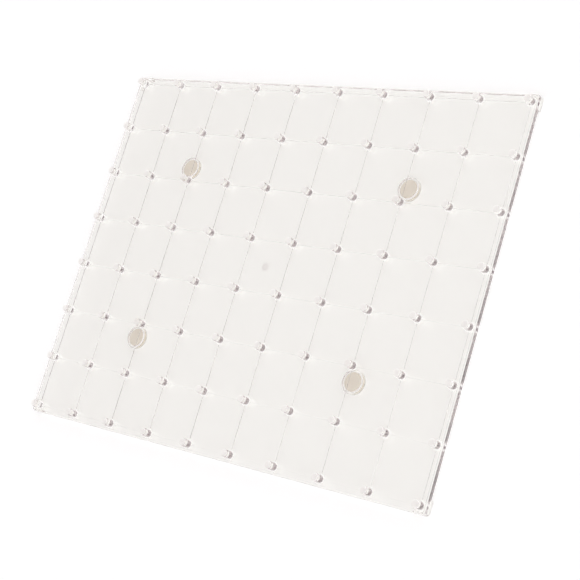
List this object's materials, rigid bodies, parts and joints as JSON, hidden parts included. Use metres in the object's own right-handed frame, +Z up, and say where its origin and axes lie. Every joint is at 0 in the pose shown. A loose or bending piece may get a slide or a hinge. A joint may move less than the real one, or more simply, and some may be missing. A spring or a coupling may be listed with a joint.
{
  "type": "peg-grid base board",
  "caption": "Clear moulded base board whose grid of solid pegs takes press-on solderless circuit blocks, with corner feet and disc magnets in cups underneath.",
  "frame": {"origin": "middle of the board, on the plane that its feet stand on", "axes": "+Z up, out of the pegs' tips; +X along the ten pegs of a row; +Y along the eight pegs of a column"},
  "size_m": [0.26, 0.204, 0.0091],
  "materials": {
    "clear_plastic": "water-clear polystyrene with a faint mauve cast through its thickness, polished",
    "magnet_plating": "satin nickel plating with a warm cast"
  },
  "bodies": {
    "root": {"base_board": "clear_plastic", "magnet_front_left": "magnet_plating", "magnet_front_right": "magnet_plating", "magnet_rear_left": "magnet_plating", "magnet_rear_right": "magnet_plating"}
  },
  "joints": []
}
